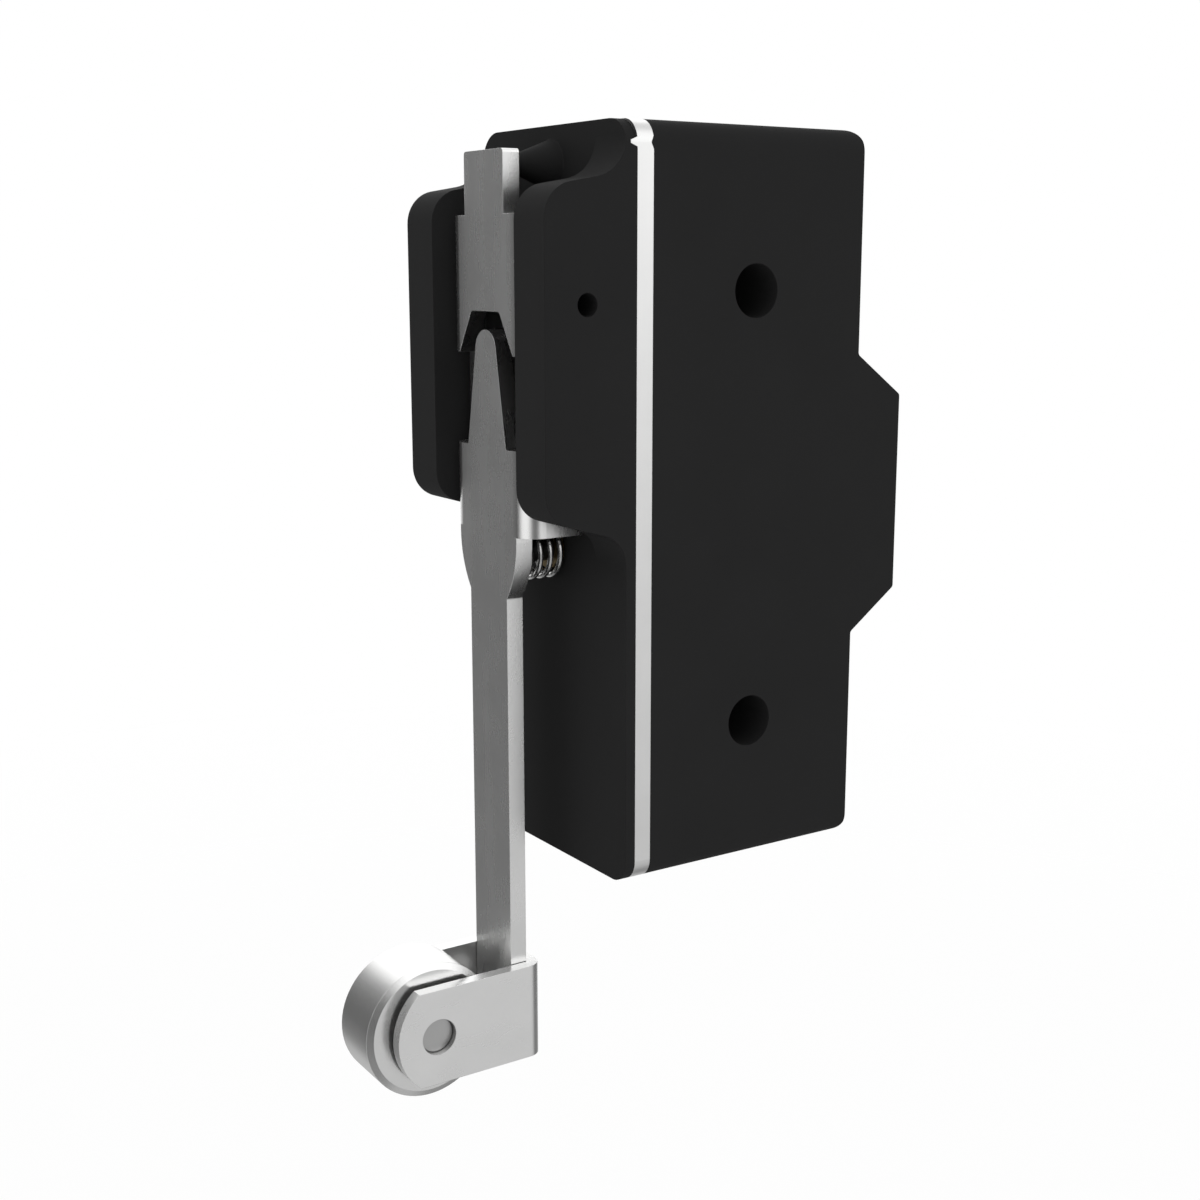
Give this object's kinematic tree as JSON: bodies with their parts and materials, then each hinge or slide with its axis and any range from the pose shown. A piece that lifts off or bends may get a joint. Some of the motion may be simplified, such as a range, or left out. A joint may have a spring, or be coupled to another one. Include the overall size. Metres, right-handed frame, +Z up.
{
  "type": "micro switch",
  "caption": "Snap-action micro switch with a moulded body, through mounting holes, a hinged channel lever with a roller at its end, a sprung plunger and screw terminals.",
  "frame": {"origin": "midway between the two mounting holes, in the middle of the body's width", "axes": "+Z up along the body, away from the roller; -X to the lever side; +X to the terminals; Y along the mounting holes"},
  "size_m": [0.0422, 0.0178, 0.0639],
  "materials": {
    "black_moulding": "satin",
    "plate_steel": "satin",
    "lever_steel": "satin",
    "roller_steel": "satin",
    "pin_steel": "satin",
    "spring_steel": "satin",
    "plunger_steel": "polished",
    "bushing_brass": "satin",
    "button_plastic": "matte",
    "blade_copper": "satin",
    "contact_silver": "satin",
    "terminal_brass": "satin",
    "screw_steel": "satin"
  },
  "bodies": {
    "body": {"case": "black_moulding", "cover_plate": "plate_steel", "head": "black_moulding", "lever_pin": "pin_steel", "lever_spring": "spring_steel", "plunger_bushing": "bushing_brass", "snap_spring": "blade_copper", "blade_anchor": "terminal_brass", "common_terminal": "terminal_brass", "open_terminal": "terminal_brass", "open_contact": "contact_silver", "closed_terminal": "terminal_brass", "closed_contact": "contact_silver", "terminal_screws": "screw_steel", "cup_washers": "screw_steel", "head_screws": "screw_steel", "plate_screws": "screw_steel"},
    "lever": {"lever": "lever_steel", "roller_bracket": "lever_steel", "bracket_rivet": "pin_steel", "roller_pin": "pin_steel"},
    "roller": {"roller": "roller_steel"},
    "plunger": {"plunger": "plunger_steel", "overtravel_spring": "spring_steel"},
    "button": {"plunger_button": "button_plastic"},
    "blade": {"snap_blade": "blade_copper", "moving_contact": "contact_silver"}
  },
  "joints": [
    {"name": "lever_pivot", "type": "hinge", "parent": "body", "child": "lever", "pos_m": [-0.01308, 0, 0.01371], "axis": [0, -1, 0], "range_deg": [0, 5], "stiffness_Nm_per_rad": 0.12, "springref_deg": -17.19, "deforming": ["lever_spring"]},
    {"name": "roller_spin", "type": "hinge", "parent": "lever", "child": "roller", "pos_m": [-0.0213, 0, -0.03435], "axis": [0, 1, 0], "continuous": true},
    {"name": "plunger_slide", "type": "slide", "parent": "body", "child": "plunger", "axis": [1, 0, 0], "range_m": [0, 0.00144], "deforming": ["overtravel_spring"]},
    {"name": "button_slide", "type": "slide", "parent": "body", "child": "button", "axis": [1, 0, 0], "range_m": [0, 0.00046]},
    {"name": "blade_flex", "type": "hinge", "parent": "body", "child": "blade", "pos_m": [-0.00443, 0, -0.01814], "axis": [0, 1, 0], "range_deg": [0, 1.7], "deforming": ["snap_spring"]}
  ],
  "couplings": [
    {"joint": "plunger_slide", "follows": "lever_pivot", "m_per_rad": 0.0164},
    {"joint": "button_slide", "follows": "lever_pivot", "m_per_rad": 0.0051566},
    {"joint": "blade_flex", "follows": "lever_pivot", "ratio": 0.33376}
  ]
}
